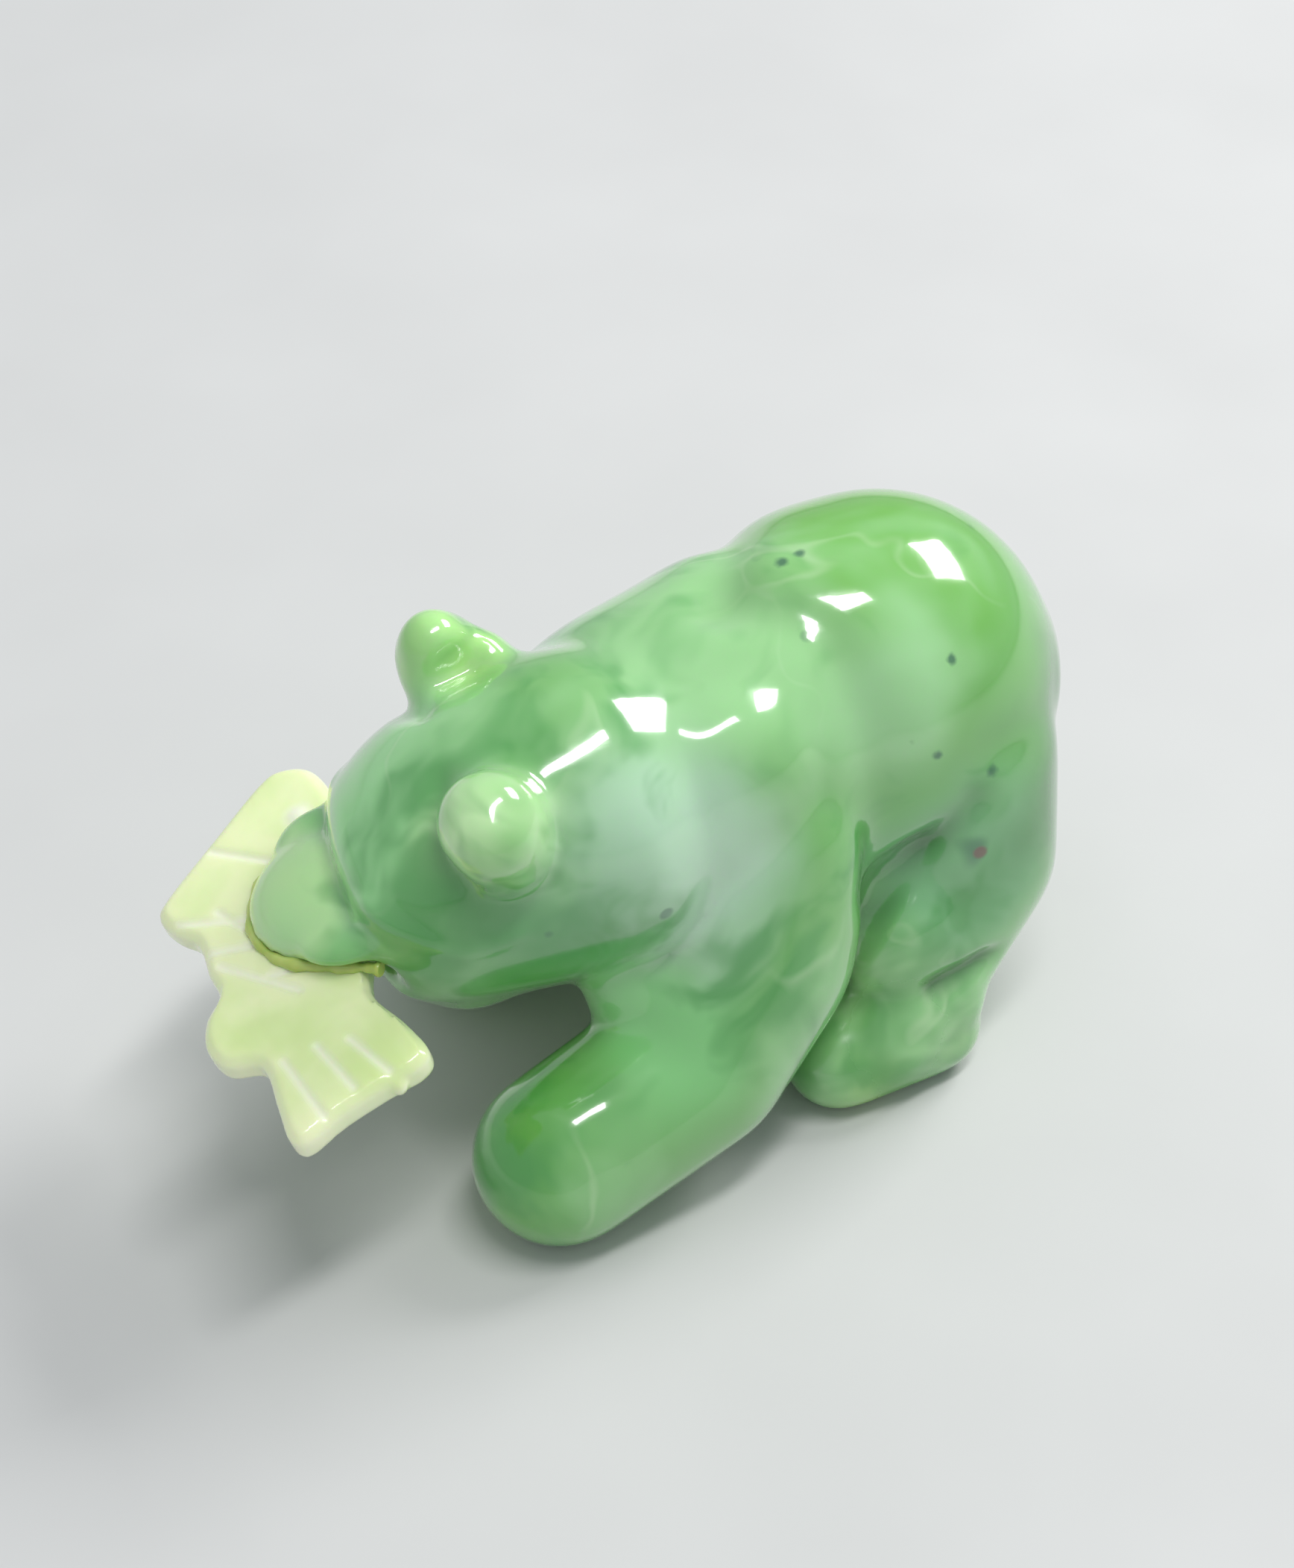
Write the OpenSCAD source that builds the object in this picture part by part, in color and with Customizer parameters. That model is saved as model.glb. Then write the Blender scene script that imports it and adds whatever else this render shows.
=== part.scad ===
// Carved jade bear with a pale stone fish glued across its mouth.
// The bear faces -X, its left side is -Y, +Z is up, and its soles stand on Z = 0.

/* [Torso] */
// Distance from the shoulder's centre to the rump's centre
body_length = 12; // [10.5:0.5:14]
// Width across the rump
rump_width = 20.5; // [17.5:0.5:24]
// Height of the rump's top above the soles
rump_top = 32; // [28.5:0.5:34]
// Width across the shoulders
shoulder_width = 19; // [16:0.5:22]
// Height of the shoulder hump above the soles
shoulder_top = 30.5; // [28:0.5:33]
// Height of the belly above the soles
belly_height = 10; // [9:0.5:12]

/* [Head] */
// Width of the head across the cheeks
head_width = 16; // [14:0.5:18.5]
// Angle that the head is turned to its right
head_turn = 17; // [0:1:25]
// Angle that the head is bent down
head_bend = 16; // [8:1:24]
// Angle that the head is tilted to its left
head_tilt = 4; // [0:1:10]
// Width of the muzzle
muzzle_width = 9.2; // [7.6:0.1:11.1]
// Radius of an ear
ear_radius = 2.5; // [2:0.1:3]
// Distance between the centres of the ears' tips
ear_spacing = 13.8; // [12:0.2:15.4]

/* [Legs] */
// Radius of a foreleg at the wrist
wrist_radius = 5; // [4.2:0.1:5.6]
// Distance between the left and the right forepaw
forepaw_spacing = 20; // [17:0.5:22]
// Distance that the right forepaw is set back behind the left one
forepaw_step = 5; // [3:0.5:7]
// Distance between the left and the right hind paw
hindpaw_spacing = 20; // [17:0.5:22]

/* [Fish] */
// Length of the fish from its nose to the fork of its tail
fish_length = 25; // [20.5:0.1:29]
// Thickness of the fish
fish_thickness = 2; // [1.6:0.1:2.5]
// Width of the rounding along the fish's edges
fish_edge = 0.5; // [0.3:0.1:0.6]
// Thickness of the adhesive on each face of the fish
glue_gap = 0.15; // [0.1:0.01:0.2]

/* [Hidden] */

// Roundness of the lofted bodies and of the beads
sides = 34;
steps = 4;
bead_sides = 26;

// Places along the body, with the whole length centred on X = 0
front_reach = 31;
rear_reach = 11;
shoulder_x = (front_reach - rear_reach - body_length) / 2;
rump_x = shoulder_x + body_length;

// The head's frame: its origin is the middle of the mouth, and -X runs along the snout
mouth = [shoulder_x - 22.4, 2.3, 16.3];
slot_end = 3.5;
muzzle_x = 1.8;
muzzle_reach = 5.3;
muzzle_rise = 2.9;
slot_half = fish_thickness / 2 + glue_gap;
ground_cut = 40;

// How far the adhesive stays inside the muzzle, and its strip at the back of the slot
glue_margin = 2.4;
glue_back = 2;
glue_width = 7.6;

// Fish keys as [distance from the nose, height] for a fish 25 long
fish_keys = [
    [0, -0.4], [0.5, 1.1], [3.3, 4.3], [6.3, 7.6], [7.5, 8.2], [9, 7.5], [10.3, 6.4], [12.6, 6.2],
    [14.3, 5.9], [15.7, 6.9], [17.5, 7.2], [19.2, 6.4], [20, 4.5], [22.8, 4.2], [25.2, 4], [26, 3.2],
    [25, 1], [24.2, -1.8], [23.8, -3.6], [22.8, -4.3], [20.4, -3.4], [17.6, -2.1], [14, -2.9], [9, -3.2],
    [4, -3], [0.9, -2.1]];
// Where the fish's nose and its middle line lie in the head's frame
fish_nose = 11;
fish_middle = -0.25;

// ---- curves ----
function unit(v) = v / norm(v);
function catmull(a, b, c, d, t) =
    0.5 * (2 * b + (c - a) * t + (2 * a - 5 * b + 4 * c - d) * t * t
        + (3 * b - a - 3 * c + d) * t * t * t);
function smooth_keys(p) = [
    for (i = [0:len(p) - 2]) for (s = [0:steps - 1])
        catmull(p[max(i - 1, 0)], p[i], p[i + 1], p[min(i + 2, len(p) - 1)], s / steps),
    p[len(p) - 1]];
function smooth_loop(p) = [
    for (i = [0:len(p) - 1]) for (s = [0:steps - 1]) let (n = len(p))
        catmull(p[(i + n - 1) % n], p[i], p[(i + 1) % n], p[(i + 2) % n], s / steps)];
function inset(p, depth) = [
    for (i = [0:len(p) - 1]) let (n = len(p), along = unit(p[(i + 1) % n] - p[(i + n - 1) % n]))
        p[i] + depth * [along[1], -along[0]]];

// ---- solids from rings ----
// Rings of equal length are joined in a row, and the first and the last ring are closed
module skin(rings) {
    n = len(rings[0]);
    m = len(rings);
    faces = concat(
        [[for (a = [0:n - 1]) a]],
        [for (i = [0:m - 2]) for (a = [0:n - 1])
            [i * n + a, (i + 1) * n + a, (i + 1) * n + (a + 1) % n, i * n + (a + 1) % n]],
        [[for (a = [n - 1:-1:0]) (m - 1) * n + a]]);
    polyhedron([for (r = rings) for (v = r) v], faces, convexity = 6);
}

function place(k) = [k[0], k[1], k[2]];
function ring(k, way) = [
    for (a = [0:sides - 1]) let (q = a * 360 / sides)
        place(k) + [0, way * k[3] * cos(q), k[4] * sin(q)]];
function capped(k, reach, q) = [k[0] + reach * sin(q), k[1], k[2], k[3] * cos(q), k[4] * cos(q)];

// A smooth body along X through keys [x, y, z, half width, half height], and the length of
// the dome at each end
module loft(keys, domes) {
    p = smooth_keys(keys);
    last = p[len(p) - 1];
    way = sign(last[0] - p[0][0]);
    angles = [20, 40, 60, 78];
    skin(concat(
        [for (i = [len(angles) - 1:-1:0]) ring(capped(p[0], -way * domes[0], angles[i]), way)],
        [for (k = p) ring(k, way)],
        [for (q = angles) ring(capped(last, way * domes[1], q), way)]));
}

// Round beads joined in a row: each bead is [x, y, z, radius]
module chain(beads) {
    for (i = [0:len(beads) - 2]) hull() {
        translate(place(beads[i])) sphere(beads[i][3], $fn = bead_sides);
        translate(place(beads[i + 1])) sphere(beads[i + 1][3], $fn = bead_sides);
    }
}

// ---- bear ----
// A key of the torso from its top, its bottom and its half width
function slice(x, top, bottom, half) = [x, 0, (top + bottom) / 2, half, (top - bottom) / 2];

module torso() {
    rr = rump_width / 2;
    sr = shoulder_width / 2;
    loft([
        slice(rump_x + 4.7, rump_top - 3.8, belly_height + 1.6, rr - 2.5),
        slice(rump_x + 2.2, rump_top - 1.2, belly_height + 0.6, rr - 0.9),
        slice(rump_x - 1.4, rump_top - 0.1, belly_height, rr - 0.1),
        slice(rump_x - 6.6, rump_top - 0.2, belly_height - 1, rr - 0.2),
        slice(shoulder_x, shoulder_top, belly_height, sr),
        slice(shoulder_x - 5, shoulder_top - 0.9, belly_height, sr - 0.5),
        slice(shoulder_x - 9, shoulder_top - 2.7, belly_height + 0.8, sr - 1.4),
        slice(shoulder_x - 13, shoulder_top - 3.7, belly_height + 1.8, sr - 2.3),
    ], [rr - 4.2, sr - 2.3]);
}

module in_head() {
    translate(mouth) rotate([0, 0, -head_turn]) rotate([0, -head_bend, 0]) rotate([head_tilt, 0, 0])
        children();
}

module head() {
    hw = head_width / 2;
    loft([
        [3.8, 0, 0.6, hw - 1.1, 6.2],
        [6, 0, 0.8, hw - 0.2, 7.6],
        [9, 0, 1, hw + 0.1, 8.7],
        [12, 0, 0.9, hw + 0.2, 9.4],
        [16, 0, 0.8, hw + 0.5, 9.5],
    ], [2, hw]);
    // upper and lower jaw
    translate([muzzle_x, 0, slot_half]) scale([muzzle_reach, muzzle_width / 2, muzzle_rise])
        sphere(1, $fn = sides);
    chain([[0.2, 0, -1.4, muzzle_width / 2 - 2.1], [5, 0, -1.5, 4], [9, 0, -2.4, 5], [14.5, 0, -3.9, 5.4]]);
    for (s = [-1, 1]) chain([
        [11.5, s * (ear_spacing / 2 - 1.3), 6.6, ear_radius + 0.4],
        [11.3, s * ear_spacing / 2, 8.8, ear_radius]]);
}

// Side s is -1 on the left and 1 on the right, and step sets the paw back
module foreleg(s, step) {
    chain([
        [shoulder_x + 1, s * 4.5, 18, 7.3],
        [shoulder_x - 1.2, s * 8, 12.4, 6],
        [shoulder_x - 5.7 + step / 2, s * 10, 7.6, 5.1],
        [shoulder_x - 14.4 + step, s * forepaw_spacing / 2, wrist_radius - 0.6, wrist_radius],
    ]);
}

module hindleg(s) {
    paw = hindpaw_spacing / 2;
    chain([
        [rump_x + 1, s * 4, 17.6, 7.4],
        [rump_x + 1.9, s * 6.6, 11.8, 5.5],
        [rump_x - 2, s * (paw - 1.2), 6.5, 4],
        [rump_x - 5.2, s * paw, 3.6, 3.5],
    ]);
    chain([
        [rump_x - 1.9, s * paw, 2.6, 3.1],
        [rump_x - 8, s * (paw - 0.4), 2.7, 3.3],
    ]);
}

module bear() {
    color([0.40, 0.68, 0.38]) difference() {
        union() {
            torso();
            in_head() head();
            foreleg(-1, 0);
            foreleg(1, forepaw_step);
            for (s = [-1, 1]) hindleg(s);
        }
        translate([0, 0, -ground_cut]) cube(2 * ground_cut, center = true);
        in_head() translate([slot_end - ground_cut, -ground_cut / 2, -slot_half])
            cube([ground_cut, ground_cut, 2 * slot_half]);
    }
}

// ---- fish ----
// The outline of the fish in the head's frame, made smaller by depth
function fish_outline(depth) =
    let (s = fish_length / 25)
    [for (k = inset(smooth_loop(fish_keys), depth / s)) [fish_middle - k[1] * s, fish_nose - k[0] * s]];
function lift(p, z) = [for (v = p) [v[0], v[1], z]];

module fish() {
    h = fish_thickness / 2;
    color([0.86, 0.93, 0.68]) in_head() skin([
        lift(fish_outline(fish_edge), -h),
        lift(fish_outline(0), fish_edge - h),
        lift(fish_outline(0), h - fish_edge),
        lift(fish_outline(fish_edge), h)]);
}

// ---- adhesive ----
module adhesive() {
    color([0.80, 0.82, 0.70]) in_head() for (side = [-1, 1])
        translate([0, 0, side * (slot_half - glue_gap / 2)])
            linear_extrude(glue_gap, center = true) hull() {
                circle(muzzle_width / 2 - glue_margin, $fn = bead_sides);
                translate([slot_end - glue_back / 2, 0]) square([glue_back, glue_width], center = true);
            }
}

bear();
fish();
adhesive();
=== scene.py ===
import math

import bmesh
import bpy
import numpy as np
from mathutils import Matrix, Vector


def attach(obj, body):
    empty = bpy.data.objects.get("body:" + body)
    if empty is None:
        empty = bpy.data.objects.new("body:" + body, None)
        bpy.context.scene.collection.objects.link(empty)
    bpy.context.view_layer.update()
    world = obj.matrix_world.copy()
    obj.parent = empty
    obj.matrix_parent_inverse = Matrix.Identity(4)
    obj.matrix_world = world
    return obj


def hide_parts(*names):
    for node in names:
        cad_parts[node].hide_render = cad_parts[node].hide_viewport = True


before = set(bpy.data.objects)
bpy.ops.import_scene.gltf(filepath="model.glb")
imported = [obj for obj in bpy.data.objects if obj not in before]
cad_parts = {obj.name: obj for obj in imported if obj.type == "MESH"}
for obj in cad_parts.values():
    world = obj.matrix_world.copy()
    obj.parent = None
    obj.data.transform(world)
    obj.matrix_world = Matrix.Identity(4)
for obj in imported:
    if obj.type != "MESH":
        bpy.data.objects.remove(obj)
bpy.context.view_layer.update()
mm = 0.001
print("frame loaded:", sorted(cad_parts))

headPose = {  # the middle of the mouth and the head's turns, as the CAD part has them
    "mouth": (-18.4, 2.3, 16.3),
    "turn": -17,
    "bend": -16,
    "tilt": 4,
}
headFrame = (
    Matrix.Translation(Vector(headPose["mouth"]) * mm)
    @ Matrix.Rotation(math.radians(headPose["turn"]), 4, "Z")
    @ Matrix.Rotation(math.radians(headPose["bend"]), 4, "Y")
    @ Matrix.Rotation(math.radians(headPose["tilt"]), 4, "X")
)
headTurn = headFrame.to_3x3()


def onHead(*places):  # places given in the head's axes, in mm
    return [headFrame @ (Vector(p) * mm) for p in places]


def onBody(*places):  # places given in the row frame, in mm
    return [Vector(p) * mm for p in places]


def mirrored(places, side):  # as given where side is 1, on the other side where it is -1
    return [(x, y * side, z) for x, y, z in places]


def asArray(places):
    return np.array([tuple(p) for p in places])


def evaluatedMesh(obj):  # a new mesh with the object's modifiers and bevels made real
    depsgraph = bpy.context.evaluated_depsgraph_get()
    return bpy.data.meshes.new_from_object(obj.evaluated_get(depsgraph))


def newObject(name, data):
    obj = bpy.data.objects.new(name, data)
    bpy.context.collection.objects.link(obj)
    return obj


class Clay:  # a mesh as arrays, so that a whole surface can be pushed about at once
    def __init__(self, obj):
        self.obj = obj
        mesh = obj.data
        self.points = np.empty(len(mesh.vertices) * 3)
        mesh.vertices.foreach_get("co", self.points)
        self.points = self.points.reshape(-1, 3)
        edges = np.empty(len(mesh.edges) * 2, dtype=np.int32)
        mesh.edges.foreach_get("vertices", edges)
        ends = edges.reshape(-1, 2)
        self.here = np.concatenate([ends[:, 0], ends[:, 1]])
        self.there = np.concatenate([ends[:, 1], ends[:, 0]])
        self.count = np.bincount(self.here, minlength=len(self.points)).clip(1)
        self.marks = {}

    def around(self, values):  # the mean of each point's neighbours
        columns = [
            np.bincount(self.here, weights=values[self.there, k], minlength=len(values))
            for k in range(values.shape[1])
        ]
        return np.stack(columns, axis=1) / self.count[:, None]

    def relax(self, turns, softness=1.0, swell=0.0):  # swell gives back what smoothing eats
        step = 0.5 * np.broadcast_to(softness, len(self.points))[:, None]
        for _ in range(turns):
            self.points += step * (self.around(self.points) - self.points)
            if swell:
                self.points -= swell * step * (self.around(self.points) - self.points)

    def normals(self):
        self.store()
        out = np.empty(len(self.points) * 3)
        self.obj.data.vertices.foreach_get("normal", out)
        return out.reshape(-1, 3)

    def store(self):
        self.obj.data.vertices.foreach_set("co", self.points.ravel())
        self.obj.data.update()

    def away(self, path):  # how far each point is from a path, in metres
        path = asArray(path)
        best = np.full(len(self.points), np.inf)
        for a, b in zip(path, path[1:]):
            along = b - a
            t = ((self.points - a) @ along / (along @ along)).clip(0, 1)
            gap = np.linalg.norm(self.points - (a + t[:, None] * along), axis=1)
            best = np.minimum(best, gap)
        return best

    def softness(self, path, reach, fade, least):  # least within reach of the path, 1 beyond the fade
        return np.clip((self.away(path) / mm - reach) / fade, least, 1)

    def groove(self, path, width, depth, mark=None):  # a channel, or a ridge if depth is negative
        shape = np.exp(-((self.away(path) / (width * mm)) ** 2))
        self.points -= self.normals() * (shape * depth * mm)[:, None]
        if mark:
            self.marks[mark] = np.maximum(self.marks.get(mark, 0), shape)

    def swell(self, place, radius, height):  # a low mound
        self.pull(place, radius, self.normals() * height)

    def pull(self, place, radius, move):  # drags the clay round a place, by a move in mm
        gap = np.linalg.norm(self.points - asArray([place])[0], axis=1) / (radius * mm)
        shape = np.clip(1 - gap**2, 0, 1) ** 2
        self.points += shape[:, None] * np.asarray(move) * mm

    def finish(self):  # the marks become attributes that the materials read
        self.store()
        for name, values in self.marks.items():
            layer = self.obj.data.attributes.new(name, "FLOAT", "POINT")
            layer.data.foreach_set("value", values.astype(np.float32))
        self.obj.data.shade_smooth()


def catmull(a, b, c, d, t):
    linear = (c - a) * t
    square = (2 * a - 5 * b + 4 * c - d) * t**2
    cubic = (3 * b - a - 3 * c + d) * t**3
    return 0.5 * (2 * b + linear + square + cubic)


def smoothPath(places, steps=8):  # a Catmull-Rom curve through the places
    keys = [places[0], *places, places[-1]]
    path = []
    for k in range(len(keys) - 3):
        path += [catmull(*keys[k : k + 4], s / steps) for s in range(steps)]
    path.append(keys[-1])
    return path


def copyNode(name):  # a node's mesh with its loose triangles joined up
    bm = bmesh.new()
    bm.from_mesh(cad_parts[name].data)
    bmesh.ops.remove_doubles(bm, verts=bm.verts, dist=0.001 * mm)
    return bm


def addBall(bm, place, size, turn):  # an egg of clay pressed into the rest
    matrix = Matrix.Translation(place) @ turn @ Matrix.Diagonal((*(Vector(size) * mm), 1))
    bmesh.ops.create_icosphere(bm, subdivisions=4, radius=1, matrix=matrix)


def addBalls(bm, balls, axes, turn):  # each ball as given, and mirrored where both sides have it
    for place, size, bothSides in balls.values():
        for side in (1, -1) if bothSides else (1,):
            addBall(bm, axes(*mirrored([place], side))[0], size, turn)


def kneaded(bm, name, grain):  # one even skin round everything in the bmesh
    rough = bpy.data.meshes.new(name)
    bm.to_mesh(rough)
    bm.free()
    obj = newObject(name, rough)
    remesh = obj.modifiers.new("skin", "REMESH")
    remesh.mode = "VOXEL"
    remesh.voxel_size = grain * mm
    skin = evaluatedMesh(obj)
    obj.modifiers.clear()
    obj.data = skin
    bpy.data.meshes.remove(rough)
    skin.name = name
    return obj


bearShape = {
    "grain": 0.28,  # size of the skin's cells, in mm
    "bodyBalls": {  # place in the row frame and half sizes in mm, and whether the right side has it too
        "armpit": ((-3.6, -7, 12.6), (3.4, 2.8, 3.8), True),
        "near forepaw": ((-9.2, -10.2, 5.2), (5.4, 4.7, 4.9), False),
        "lower thigh": ((12.6, -8.9, 10.0), (4.2, 3.4, 4.6), True),
        "heel": ((14.6, -10.6, 5.4), (2.3, 2.5, 3.4), True),
        "shoulder": ((2.5, -5.4, 22.4), (6.4, 4.9, 7.2), False),
        "rump": ((15.2, 0, 20.6), (11.1, 10.1, 11.3), False),
    },
    "headBalls": {  # the same in the head's axes
        "throat": ((7.5, -2.2, -3.2), (4.6, 4.4, 3.6), True),
        "muzzle root": ((1.9, -3.5, 2.1), (3.2, 2.5, 1), True),
        "far ear root": ((12.8, 6.1, 7.3), (2.5, 2.3, 2.7), False),
        "near ear": ((11.4, -5.9, 8.6), (3, 2.8, 3.2), False),
        "far ear": ((11.3, 6.6, 9.6), (2.1, 2, 2.5), False),
    },
    "relaxing": (40, 0.35),  # turns of smoothing, and how much of what they eat is given back
    "jaws": [(-4, 0, 0), (3, 0, 0)],  # the jaws' middle line in the head's axes
    "jawsSoftness": (3.6, 2.5, 0.03),  # reach and fade in mm, and how much the middle gives way
    "ear": [(11.5, -5.8, 6.8), (11.3, -6.9, 9.4)],  # the middle line of the left ear
    "earSoftness": (2.2, 2.5, 0.5),
    "nape": [(-7, -3, 30), (5, -4, 30)],  # smoothed more, along this line in the row frame
    "napeSoftness": (1.6, 4),  # on the line, held to 1 at most, and the mm in which it falls by 1
    "napeRelaxing": (90, 0.2),
    "muzzleRim": (1.9, 4.7, 3.0),  # its place along the snout, half width and rise
    "rimBase": 1.15,  # height of the slot's upper face, where the rim starts
    "rimEnds": 0.05,  # how far the rim stops short of a half turn, in radians
    "rimSteps": 24,
    "rimGroove": (0.5, 0.3),  # width and depth
    "folds": {  # axes, width and depth, mark (the crease mark paints shade into the groove), and the places on the left side that it runs along
        "cheek": (onHead, (0.6, -0.25), None, [
            (3.2, -4.8, 4.8), (4.9, -6.7, 3.7), (7.6, -7.9, 2.2), (10.4, -8, 2.3),
        ]),
        "ear": (onHead, (0.7, 0.45), None, [
            (9.75, -2.7, 9.2), (8.65, -4.4, 7.9), (9.05, -7.1, 6.3),
        ]),
        "thigh": (onBody, (1.0, 1.15), "crease", [
            (15.7, -10, 19.4), (13.3, -10, 17), (10.6, -10, 14.6), (8.9, -10, 12.6), (7.3, -9.6, 10),
        ]),
        "ankle": (onBody, (0.7, 0.8), "crease", [
            (12.6, -12.2, 8), (13.9, -12.3, 8.3), (15.8, -12.4, 8.7), (17.4, -10.5, 8.6),
        ]),
        "valley": (onBody, (1.9, 0.7), None, [
            (5.4, 0, 31), (6.9, -2.2, 30.8), (8.9, -4.6, 30), (9.4, -7.4, 27.5), (10.2, -9.9, 21),
            (9.4, -10.4, 16.5),
        ]),
    },
    "farEarDish": {"place": (12.2, 4.8, 9), "reach": 2.6, "way": (0, 0.67, -0.74), "depth": 1.1},
    "lastRelaxing": 6,
}


def softenBear(clay):  # the jaws and the ears keep more of their shape than the rest
    soft = clay.softness(onHead(*bearShape["jaws"]), *bearShape["jawsSoftness"])
    for side in (1, -1):
        ear = onHead(*mirrored(bearShape["ear"], side))
        soft = np.minimum(soft, clay.softness(ear, *bearShape["earSoftness"]))
    turns, swell = bearShape["relaxing"]
    clay.relax(turns, soft, swell)
    onLine, fall = bearShape["napeSoftness"]
    soft = onLine - clay.away(onBody(*bearShape["nape"])) / (fall * mm)
    turns, swell = bearShape["napeRelaxing"]
    clay.relax(turns, np.clip(soft, 0, 1), swell)


def carveBear(clay):  # the rim of the muzzle, the folds and the dish of the far ear
    along, halfWidth, rise = bearShape["muzzleRim"]
    base = bearShape["rimBase"]
    short = bearShape["rimEnds"]
    turns = np.linspace(short, math.pi - short, bearShape["rimSteps"])
    rim = [(along, halfWidth * math.cos(t), base + rise * math.sin(t)) for t in turns]
    clay.groove(onHead(*rim), *bearShape["rimGroove"])
    for side in (1, -1):
        for axes, size, mark, places in bearShape["folds"].values():
            clay.groove(smoothPath(axes(*mirrored(places, side))), *size, mark)
    dish = bearShape["farEarDish"]
    move = np.array(headTurn @ Vector(dish["way"])) * dish["depth"]
    clay.pull(onHead(dish["place"])[0], dish["reach"], move)
    clay.relax(bearShape["lastRelaxing"])


def makeBear():
    bm = copyNode("bear")
    addBalls(bm, bearShape["bodyBalls"], onBody, Matrix())
    addBalls(bm, bearShape["headBalls"], onHead, headTurn.to_4x4())
    obj = kneaded(bm, "bearCarving", bearShape["grain"])
    clay = Clay(obj)
    softenBear(clay)
    carveBear(clay)
    clay.finish()
    print("bear:", len(obj.data.polygons), "faces")
    return obj


fishShape = {
    "grain": 0.12,
    "relaxing": (10, 0.3),
    "raySize": (0.26, 0.16),  # width and depth
    "rays": [  # where each engraved ray starts and ends on the plate, in the head's axes
        ((-4.7, 6.6), (-1.8, 4.5)),
        ((-7.4, 2.3), (-3.6, 0.9)),
        ((-5.1, 2.1), (-3.2, -0.6)),
        ((-6.4, -0.4), (-3, -1.2)),
        ((-5.7, -1.6), (-1.8, -5.2)),
        ((-3.2, -3.5), (-0.3, -4.1)),
        ((-3.5, -9.5), (-2, -14.2)),
        ((-1.6, -9.3), (-0.2, -12.8)),
        ((0.2, -9.6), (1.8, -12.6)),
    ],
    "faceHeight": 1,  # half of the plate's thickness
    "eye": (0.5, 6.8),
    "eyeSize": (0.8, 0.14),  # radius and height
    "eyeMark": (1.6, 1.4),  # strength at the middle, held to 1 at most, and how much a mm takes away
    "rimHighlight": 1.2,  # strength of the painted highlight on the plate's edge, held to 1 at most; it is 0 on the flat faces
    "nub": (2, -13.1),
    "nubSize": (0.45, 0.45, 0.5),
    "lastRelaxing": 2,
}


def markFish(clay):  # the eye is paler, and a painted highlight lightens the plate's edge
    height = fishShape["faceHeight"]
    middle = onHead((*fishShape["eye"], -height), (*fishShape["eye"], height))
    strength, fade = fishShape["eyeMark"]
    clay.marks["eye"] = np.clip(strength - clay.away(middle) / mm * fade, 0, 1)
    flatness = np.abs(clay.normals() @ np.array(headTurn @ Vector((0, 0, 1))))
    clay.marks["rim"] = np.clip(fishShape["rimHighlight"] * (1 - flatness), 0, 1)


def makeFish():
    bm = copyNode("fish")
    addBall(bm, onHead((*fishShape["nub"], 0))[0], fishShape["nubSize"], Matrix())
    obj = kneaded(bm, "fishPlate", fishShape["grain"])
    clay = Clay(obj)
    turns, swell = fishShape["relaxing"]
    clay.relax(turns, 1.0, swell)
    for height in (-fishShape["faceHeight"], fishShape["faceHeight"]):
        for start, end in fishShape["rays"]:
            ray = onHead((*start, height), (*end, height))
            clay.groove(ray, *fishShape["raySize"], "ray")
        clay.swell(onHead((*fishShape["eye"], height))[0], *fishShape["eyeSize"])
    clay.relax(fishShape["lastRelaxing"])
    markFish(clay)
    clay.finish()
    print("fish:", len(obj.data.polygons), "faces")
    return obj


beadShape = {  # the glue squeezed out round the muzzle
    "radius": 0.34,
    "roundness": 5,
    "height": 1.08,  # in the head's axes
    "way": [
        (2.8, 6), (1.9, 5.4), (0.6, 4.8), (-1.2, 3.8), (-2.8, 2.3), (-3.4, 0),
        (-2.8, -2.3), (-1.2, -3.8), (0.6, -4.8), (1.9, -5.4), (2.8, -6),
    ],
    "waves": [(0.22, 0.5), (0.12, 1.3)],  # how unevenly it is squeezed: height and step of each wave
}


def makeGlue():
    curve = bpy.data.curves.new("glueBead", "CURVE")
    curve.dimensions = "3D"
    curve.bevel_depth = beadShape["radius"] * mm
    curve.bevel_resolution = beadShape["roundness"]
    curve.use_fill_caps = True
    way = smoothPath(onHead(*[(x, y, beadShape["height"]) for x, y in beadShape["way"]]))
    spline = curve.splines.new("POLY")
    spline.points.add(len(way) - 1)
    for k, (point, spot) in enumerate(zip(spline.points, way)):
        point.co = (*spot, 1)
        point.radius = 1 + sum(height * math.sin(step * k) for height, step in beadShape["waves"])
    drawn = newObject("glueCurve", curve)
    mesh = evaluatedMesh(drawn)
    bpy.data.objects.remove(drawn)
    mesh.shade_smooth()
    print("glue:", len(mesh.polygons), "faces")
    return newObject("glueBead", mesh)


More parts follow.
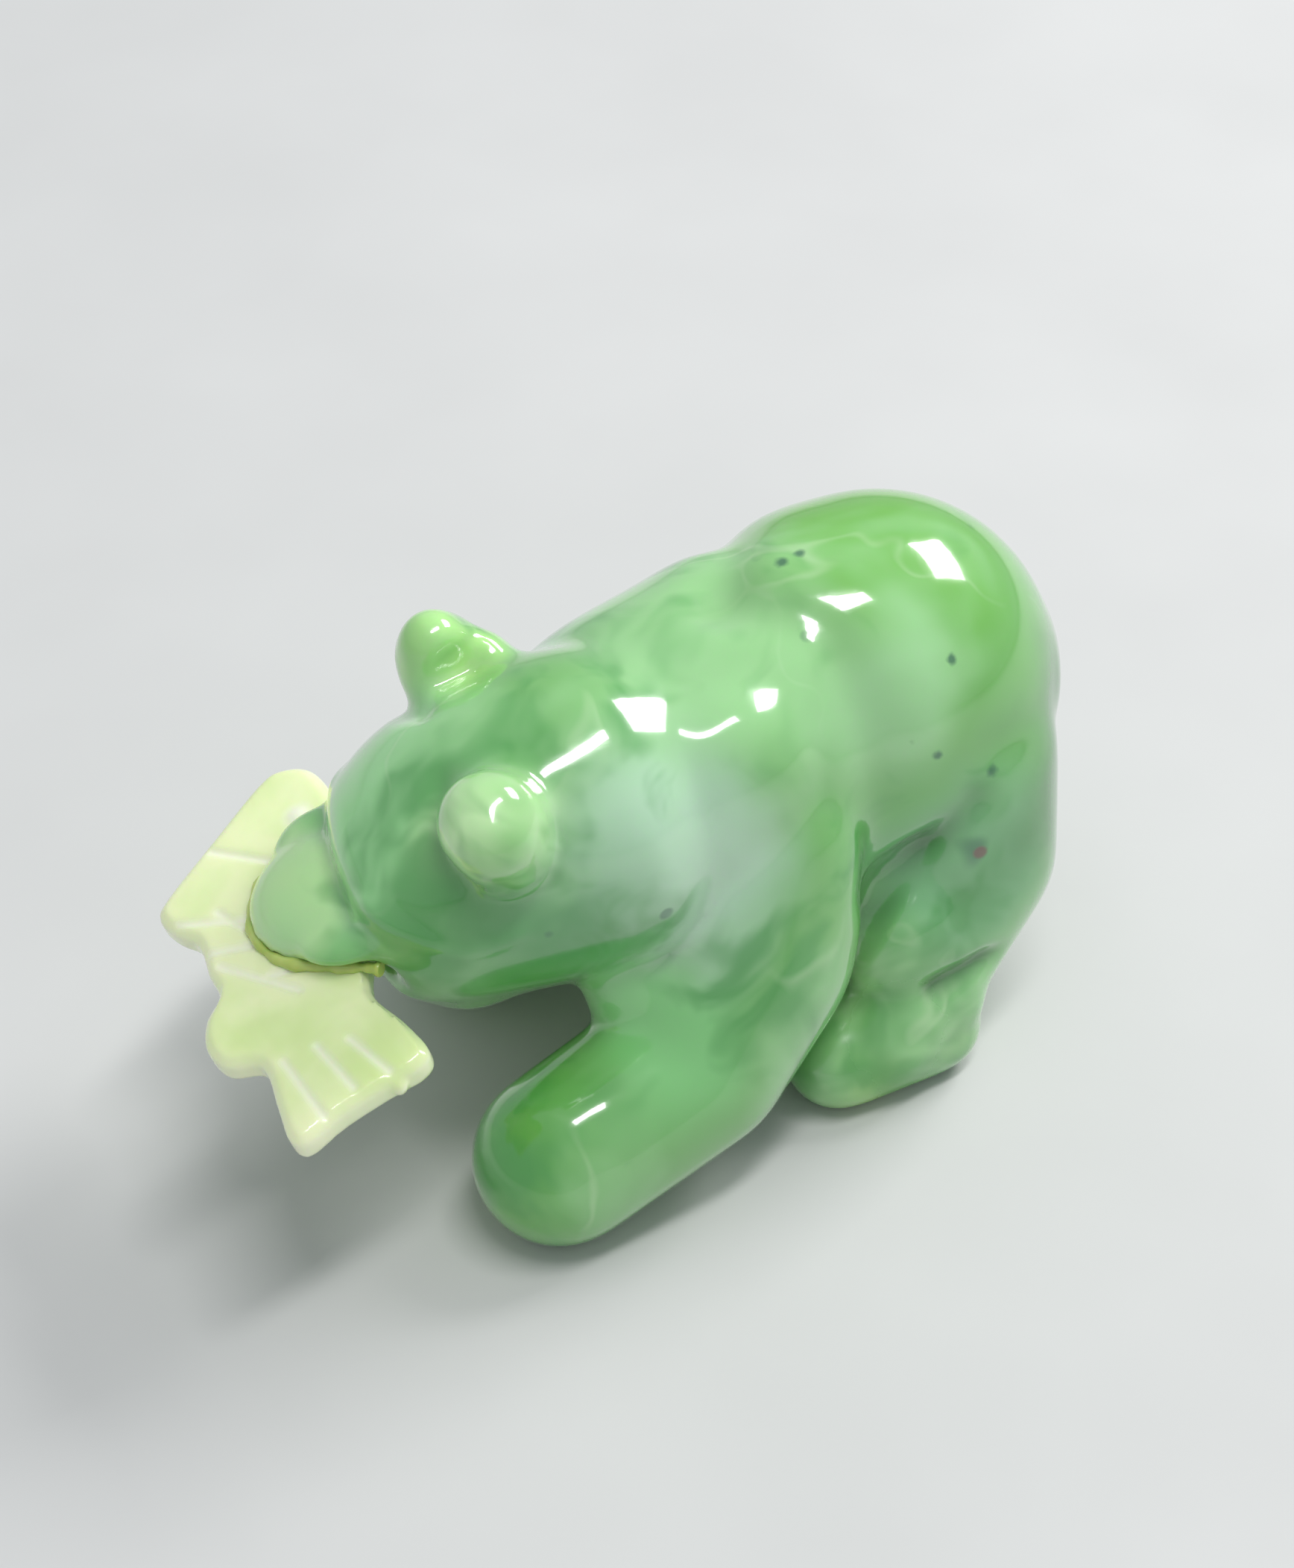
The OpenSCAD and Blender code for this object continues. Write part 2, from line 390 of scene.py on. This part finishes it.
class Wire:  # a socket that can be used in sums
    def __init__(self, tree, socket=None):
        self.tree = tree
        self.socket = socket

    def make(self, kind, settings=None, values=None, out=0):  # any other node
        node = self.tree.nodes.new("ShaderNode" + kind)
        for name, value in (settings or {}).items():
            if name == "stops":
                ramp = node.color_ramp
                for element, (place, colour) in zip(ramp.elements, value):
                    element.position = place
                    element.color = (*colour, 1)
            else:
                setattr(node, name, value)
        for name, value in (values or {}).items():
            if isinstance(value, Wire):
                self.tree.links.new(value.socket, node.inputs[name])
            else:
                node.inputs[name].default_value = value
        return Wire(self.tree, node.outputs[out])

    def sum(self, operation, first, second):  # one Math node
        return self.make("Math", {"operation": operation}, {0: first, 1: second})

    def __add__(self, other):
        return self.sum("ADD", self, other)

    def __sub__(self, other):
        return self.sum("SUBTRACT", self, other)

    def __rsub__(self, other):
        return self.sum("SUBTRACT", other, self)

    def __mul__(self, other):
        return self.sum("MULTIPLY", self, other)

    __radd__ = __add__
    __rmul__ = __mul__

    def size(self):  # without its sign
        return self.make("Math", {"operation": "ABSOLUTE"}, {0: self})

    def within(self, low, high):  # 0 at low, 1 at high, smoothly
        settings = {"interpolation_type": "SMOOTHSTEP"}
        return self.make("MapRange", settings, {"Value": self, "From Min": low, "From Max": high})

    def blend(self, under, over):  # this mask lays one colour over another
        return self.make("Mix", {"data_type": "RGBA"}, {0: self, 6: under, 7: over}, 2)

    def move(self, operation, other):  # vector maths
        name = "Scale" if operation == "SCALE" else 1
        return self.make("VectorMath", {"operation": operation}, {0: self, name: other})


def startMaterial(name, fixed):
    material = bpy.data.materials.new(name)
    material.use_nodes = True
    tree = material.node_tree
    shader = tree.nodes["Principled BSDF"]
    for socket, value in fixed.items():
        shader.inputs[socket].default_value = value
    return material, Wire(tree), shader


def join(wire, shader, socket):
    wire.tree.links.new(wire.socket, shader.inputs[socket])


noiseMiddle = 0.5  # a noise swings round this value


def cloud(wire, place, scale, detail=3.0, rough=0.5, bend=0.0, out=0):
    values = {"Vector": place, "Scale": scale, "Detail": detail, "Roughness": rough, "Distortion": bend}
    return wire.make("TexNoise", {}, values, out)


def twoTone(wire, mask, low, high):  # a ramp from one place and colour to another
    return wire.make("ValToRGB", {"stops": [low, high]}, {0: mask})


def readMark(wire, name):  # an attribute that the clay left on the mesh
    return wire.make("Attribute", {"attribute_name": name}, {}, "Fac")


def patch(wire, place, centre, inner, outer):  # 1 near a centre, fading to 0
    values = {0: place, 1: tuple(Vector(centre) * mm)}
    gap = wire.make("VectorMath", {"operation": "DISTANCE"}, values, "Value")
    return gap.within(outer * mm, inner * mm)


def rgb(r, g, b):
    return (r, g, b, 1)


jadeLook = {
    "base": (0.18, 0.46, 0.13),
    "headZones": {  # centre in the head's axes, inner and outer reach in mm, colour
        "face": ((6, -1, 6), 3, 9, (0.36, 0.76, 0.33)),
        "far cheek": ((8, 6, 3), 3, 8, (0.12, 0.44, 0.12)),
        "near cheek": ((11.5, -8.5, 0.5), 2, 8, (0.07, 0.33, 0.08)),
        "muzzle": ((-1.5, 0, 2.6), 3.5, 6, (0.52, 0.80, 0.36)),
        # painted light: the near ear is paler jade, lightened further so its down-turned side looks lit
        "near ear": ((11.3, -6.9, 8.8), 2, 5, (0.66, 0.93, 0.50)),
        "far ear": ((11.8, 6.6, 9.4), 2, 5, (0.50, 0.84, 0.30)),
    },
    "bodyZones": {  # the same in the row frame, alike on both sides
        "rump": ((14, 2, 30), 4, 11, (0.13, 0.44, 0.03)),
        "back": ((4, 4, 28), 3, 9, (0.32, 0.62, 0.27)),
        "hip": ((11.5, 8.5, 26.5), 2, 6, (0.36, 0.66, 0.32)),
        "shoulder": ((-4, 9, 22), 4, 10, (0.52, 0.76, 0.55)),
        "flank": ((10, 10, 18), 2, 7, (0.18, 0.50, 0.14)),
        "foreleg": ((-4, 11, 12), 2, 7, (0.24, 0.62, 0.22)),
        "forepaw": ((-14, 11, 5), 3.5, 7.5, (0.12, 0.42, 0.07)),
        "thigh": ((15, 10, 14.5), 3, 8, (0.20, 0.48, 0.22)),
        "foot": ((11.5, 11, 5), 3, 7, (0.44, 0.76, 0.35)),
        # painted shade along the front of the hind feet, low by the floor
        "shaded foot edge": ((9, 12, 1), 1.5, 4.5, (0.28, 0.56, 0.09)),
        # painted shade: the back end of the body darkened
        "shaded rear": ((25, 6, 17), 5, 11, (0.03, 0.20, 0.03)),
    },
    "zoneStrength": 0.9,
    "warp": (120.0, 2.0, 7),  # noise scale and detail, and how far it pushes the zones' edges, in mm
    # each layer of cloud: noise scale, detail, roughness and bend, soft edge, strength and colour
    "pale": ((75, 3, 0.5, 0.5), (0.48, 0.7), 0.6, (0.38, 0.70, 0.34)),
    "deep": ((110, 3, 0.55, 0.5), (0.49, 0.68), 0.75, (0.06, 0.32, 0.06)),
    "thread": ((48, 2, 0.5, 1.2), 55, 0.45, (0.55, 0.76, 0.45)),  # thinness in place of the edge
    "dots": (210.0, (0.11, 0.06), 0.6),  # scale of the cells, the dots' soft edge, strength
    "dotsWhere": ((90, 1), (0.54, 0.6)),  # noise scale and detail, and soft edge, of the dotted areas
    "speck": (0.02, 0.12, 0.07),
    "specks": {  # place in the row frame and radius
        "spine": ((9.5, 0.2, 31.8), 0.35),
        "spine behind": ((10.6, 0.1, 31.9), 0.3),
        "hip": ((9.2, -5.8, 29.6), 0.25),
        "flank": ((11.1, -10.1, 21.2), 0.3),
        "upper flank": ((12.2, -9.5, 24.8), 0.3),
        "flank behind": ((13.6, -9.8, 23.6), 0.3),
        "rump": ((15.6, -7.5, 28), 0.3),
        "rump behind": ((17, -10.3, 21.4), 0.35),
    },
    "speckEdge": (0.4, 1.5),  # where a speck's fading starts and ends, in radii
    "speckStrength": 0.8,
    "ragged": (1500.0, 0.4),  # noise scale and reach in mm, for the outline of the specks
    "rust": ((15.7, -11.4, 16.3), 0.55),
    "rustRim": (1, 2.4, 0.6),  # inner and outer edge in radii, and strength
    "rustHeart": (0.5, 1, 0.8),
    "rustColour": (0.2, 0.09, 0.08),
    # painted shade: the dark colour laid into the thigh and ankle creases
    "crease": (0.05, 0.19, 0.05),
    "creaseShadeStrength": 0.75,
    "satin": ((11, 12, 5), 2, 6),  # the hind feet are less polished: centre and reach
    "roughness": (0.1, 0.16, 0.08),  # of the polish, and what the satin and the grain add
    "coat": (0.8, 0.5),  # of the polish, and what the satin takes away
    "grain": (900, 3, 0.6),
    "grainBump": (0.06, 0.1),  # strength, and height in mm
}


def bothSidesAlike(wire, place):  # the place with its Y made positive
    x, y, z = [wire.make("SeparateXYZ", {}, {0: place}, axis) for axis in "XYZ"]
    return wire.make("CombineXYZ", {}, {"X": x, "Y": y.size(), "Z": z})


def jadeZones(wire, place, drifted, folded):  # soft areas of colour, a few of them painted light and painted shade, and the clouds over them
    colour = wire.make("RGB")
    colour.socket.default_value = rgb(*jadeLook["base"])
    strength = jadeLook["zoneStrength"]
    for centre, inner, outer, tone in jadeLook["bodyZones"].values():
        colour = (patch(wire, folded, centre, inner, outer) * strength).blend(colour, rgb(*tone))
    for centre, inner, outer, tone in jadeLook["headZones"].values():
        centre = onHead(centre)[0] / mm
        colour = (patch(wire, drifted, centre, inner, outer) * strength).blend(colour, rgb(*tone))
    noise, edge, strength, tone = jadeLook["pale"]
    pale = cloud(wire, place, *noise).within(*edge)
    colour = (pale * strength).blend(colour, rgb(*tone))
    noise, edge, strength, tone = jadeLook["deep"]
    deep = cloud(wire, drifted, *noise).within(*edge)
    colour = (deep * strength).blend(colour, rgb(*tone))
    noise, thinness, strength, tone = jadeLook["thread"]
    thread = (cloud(wire, drifted, *noise) - noiseMiddle).size() * thinness
    thread = (1 - thread).within(0, 1) * pale
    return (thread * strength).blend(colour, rgb(*tone))


def jadeSpecks(wire, place, drifted, colour):  # fine dots, single specks and a rusty spot on top
    speck = rgb(*jadeLook["speck"])
    scale, edge, strength = jadeLook["dots"]
    dots = wire.make("TexVoronoi", {}, {"Vector": place, "Scale": scale}, "Distance").within(*edge)
    noise, edge = jadeLook["dotsWhere"]
    dots = dots * cloud(wire, place, *noise).within(*edge)
    colour = (dots * strength).blend(colour, speck)
    scale, reach = jadeLook["ragged"]
    ragged = wire.make("TexNoise", {}, {"Vector": place, "Scale": scale}, "Color")
    ragged = place.move("ADD", ragged.move("SCALE", reach * mm))
    inner, outer = jadeLook["speckEdge"]
    for centre, radius in jadeLook["specks"].values():
        near = patch(wire, ragged, centre, radius * inner, radius * outer)
        colour = (near * jadeLook["speckStrength"]).blend(colour, speck)
    centre, radius = jadeLook["rust"]
    inner, outer, strength = jadeLook["rustRim"]
    rim = patch(wire, drifted, centre, radius * inner, radius * outer)
    colour = (rim * strength).blend(colour, speck)
    inner, outer, strength = jadeLook["rustHeart"]
    heart = patch(wire, place, centre, radius * inner, radius * outer)
    return (heart * strength).blend(colour, rgb(*jadeLook["rustColour"]))


def makeGreenJade():
    material, wire, shader = startMaterial(
        "greenJade",
        {
            "IOR": 1.61,
            "Subsurface Weight": 0.5,
            "Subsurface Radius": (0.7, 1.6, 0.6),
            "Subsurface Scale": 1.1 * mm,
            "Coat Roughness": 0.03,
            "Coat IOR": 1.6,
        },
    )
    place = wire.make("TexCoord", out="Object")
    scale, detail, reach = jadeLook["warp"]
    drift = cloud(wire, place, scale, detail, out="Color")
    drift = drift.move("SUBTRACT", (noiseMiddle,) * 3).move("SCALE", reach * mm)
    drifted = place.move("ADD", drift)
    folded = bothSidesAlike(wire, drifted)
    colour = jadeZones(wire, place, drifted, folded)
    colour = jadeSpecks(wire, place, drifted, colour)
    # painted shade darkens the thigh and ankle creases
    crease = readMark(wire, "crease") * jadeLook["creaseShadeStrength"]
    join(crease.blend(colour, rgb(*jadeLook["crease"])), shader, "Base Color")
    satin = patch(wire, folded, *jadeLook["satin"])
    grain = cloud(wire, place, *jadeLook["grain"])
    polish, satinRough, grainRough = jadeLook["roughness"]
    join(satin * satinRough + grain * grainRough + polish, shader, "Roughness")
    coat, satinCoat = jadeLook["coat"]
    join(coat - satin * satinCoat, shader, "Coat Weight")
    strength, height = jadeLook["grainBump"]
    values = {"Strength": strength, "Distance": height * mm, "Height": grain}
    join(wire.make("Bump", {}, values), shader, "Normal")
    return material


paleLook = {
    "broad": (160, 3, 0.5, 0.4),  # noise scale, detail, roughness and bend
    "deep": (0.35, (0.70, 0.84, 0.37)),  # place on the ramp, and colour
    "light": (0.65, (0.86, 0.95, 0.54)),
    "ray": (0.93, 0.97, 0.76),
    "rayStrength": 0.8,
    "rimHighlightStrength": 0.5,  # of the painted highlight on the plate's edge, in the same colour
    "eye": (0.90, 0.95, 0.72),
    "roughness": (0.2, 0.3),  # of the polish, and what the rays add
}


def makePaleJade():
    material, wire, shader = startMaterial(
        "paleJade",
        {
            "IOR": 1.61,
            "Subsurface Weight": 0.5,
            "Subsurface Radius": (1.2, 1.6, 0.8),
            "Subsurface Scale": 1.0 * mm,
            "Coat Weight": 0.4,
            "Coat Roughness": 0.05,
        },
    )
    place = wire.make("TexCoord", out="Object")
    broad = cloud(wire, place, *paleLook["broad"])
    colour = twoTone(wire, broad, paleLook["deep"], paleLook["light"])
    ray = readMark(wire, "ray")
    colour = (ray * paleLook["rayStrength"]).blend(colour, rgb(*paleLook["ray"]))
    colour = readMark(wire, "eye").blend(colour, rgb(*paleLook["eye"]))
    # painted highlight: the plate's edge is lightened as if it catches the light
    rim = readMark(wire, "rim") * paleLook["rimHighlightStrength"]
    join(rim.blend(colour, rgb(*paleLook["ray"])), shader, "Base Color")
    polish, rayRough = paleLook["roughness"]
    join(ray * rayRough + polish, shader, "Roughness")
    return material


glueLook = {
    "tint": (600, 2),  # noise scale and detail
    "deep": (0.3, (0.42, 0.56, 0.10)),
    "light": (0.7, (0.58, 0.68, 0.22)),
    "roughness": (0.1, 0.2),  # the least, and what the tint adds
}


def makeClearGlue():
    material, wire, shader = startMaterial(
        "clearGlue",
        {
            "IOR": 1.48,
            "Coat Weight": 0.3,
            "Subsurface Weight": 0.4,
            "Subsurface Scale": 0.6 * mm,
        },
    )
    tint = cloud(wire, wire.make("TexCoord", out="Object"), *glueLook["tint"])
    colour = twoTone(wire, tint, glueLook["deep"], glueLook["light"])
    join(colour, shader, "Base Color")
    least, more = glueLook["roughness"]
    join(tint * more + least, shader, "Roughness")
    return material


def dress(obj, material):
    obj.data.materials.clear()
    obj.data.materials.append(material)


bear = makeBear()
fish = makeFish()
glue = makeGlue()
clearGlue = makeClearGlue()
dress(bear, makeGreenJade())
dress(fish, makePaleJade())
dress(glue, clearGlue)
dress(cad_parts["adhesive"], clearGlue)
print("materials done")

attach(bear, "root")
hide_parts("bear")
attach(fish, "root")
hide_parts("fish")
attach(glue, "root")

stage = {
    "floorSize": 3.0,  # in metres
    "floorTone": (40, 3),  # noise scale and detail
    "dark": (0.3, (0.58, 0.58, 0.57)),  # place on the ramp, and colour
    "light": (0.7, (0.61, 0.61, 0.6)),
    "world": 0.52,  # strength of the light all round
    "worldColour": (0.9, 0.95, 1.0),
}
softboxes = {  # azimuth and elevation in degrees, distance, width and height in metres, power in W
    "window": (98, 42, 0.5, 0.22, 0.15, 1.5),
    "lamp": (15, 76, 0.5, 0.28, 0.06, 1.05),
}
softboxTarget = (0, 0, 15)  # in mm
cameraPlace = {  # degrees, and mm in the row frame
    "azimuth": -30,
    "elevation": 42,
    "distance": 207,
    "target": (1.69, 1.32, 17.85),
    "lens": 85,
}


def makeFloor():
    bm = bmesh.new()
    bmesh.ops.create_grid(bm, x_segments=2, y_segments=2, size=stage["floorSize"] / 2)
    mesh = bpy.data.meshes.new("floor")
    bm.to_mesh(mesh)
    bm.free()
    material, wire, shader = startMaterial("paleFloor", {"Roughness": 0.8})
    tone = cloud(wire, wire.make("TexCoord", out="Object"), *stage["floorTone"])
    join(twoTone(wire, tone, stage["dark"], stage["light"]), shader, "Base Color")
    mesh.materials.append(material)
    return newObject("floor", mesh)


def makeWorld():
    world = bpy.data.worlds.new("studio")
    world.use_nodes = True
    background = world.node_tree.nodes["Background"]
    background.inputs["Color"].default_value = rgb(*stage["worldColour"])
    background.inputs["Strength"].default_value = stage["world"]
    bpy.context.scene.world = world
    bpy.context.scene.view_settings.view_transform = "Standard"


def putAt(obj, target, azimuth, elevation, distance):  # aimed at the target; lengths in metres
    a = math.radians(azimuth)
    e = math.radians(elevation)
    back = Vector((math.sin(a) * math.cos(e), -math.cos(a) * math.cos(e), math.sin(e)))
    obj.location = target + back * distance
    obj.rotation_euler = (-back).to_track_quat("-Z", "Y").to_euler()


def makeSoftbox(name, azimuth, elevation, distance, width, height, power):
    light = bpy.data.lights.new(name, "AREA")
    light.shape = "RECTANGLE"
    light.size = width
    light.size_y = height
    light.energy = power
    putAt(newObject(name, light), Vector(softboxTarget) * mm, azimuth, elevation, distance)


def makeCamera(azimuth, elevation, distance, target, lens):
    data = bpy.data.cameras.new("camera")
    data.lens = lens
    data.sensor_width = 36
    data.clip_start = 0.005
    camera = newObject("camera", data)
    putAt(camera, Vector(target) * mm, azimuth, elevation, distance * mm)
    bpy.context.scene.camera = camera


floor = makeFloor()
makeWorld()
for name, values in softboxes.items():
    makeSoftbox(name, *values)
makeCamera(**cameraPlace)
print("stage done")
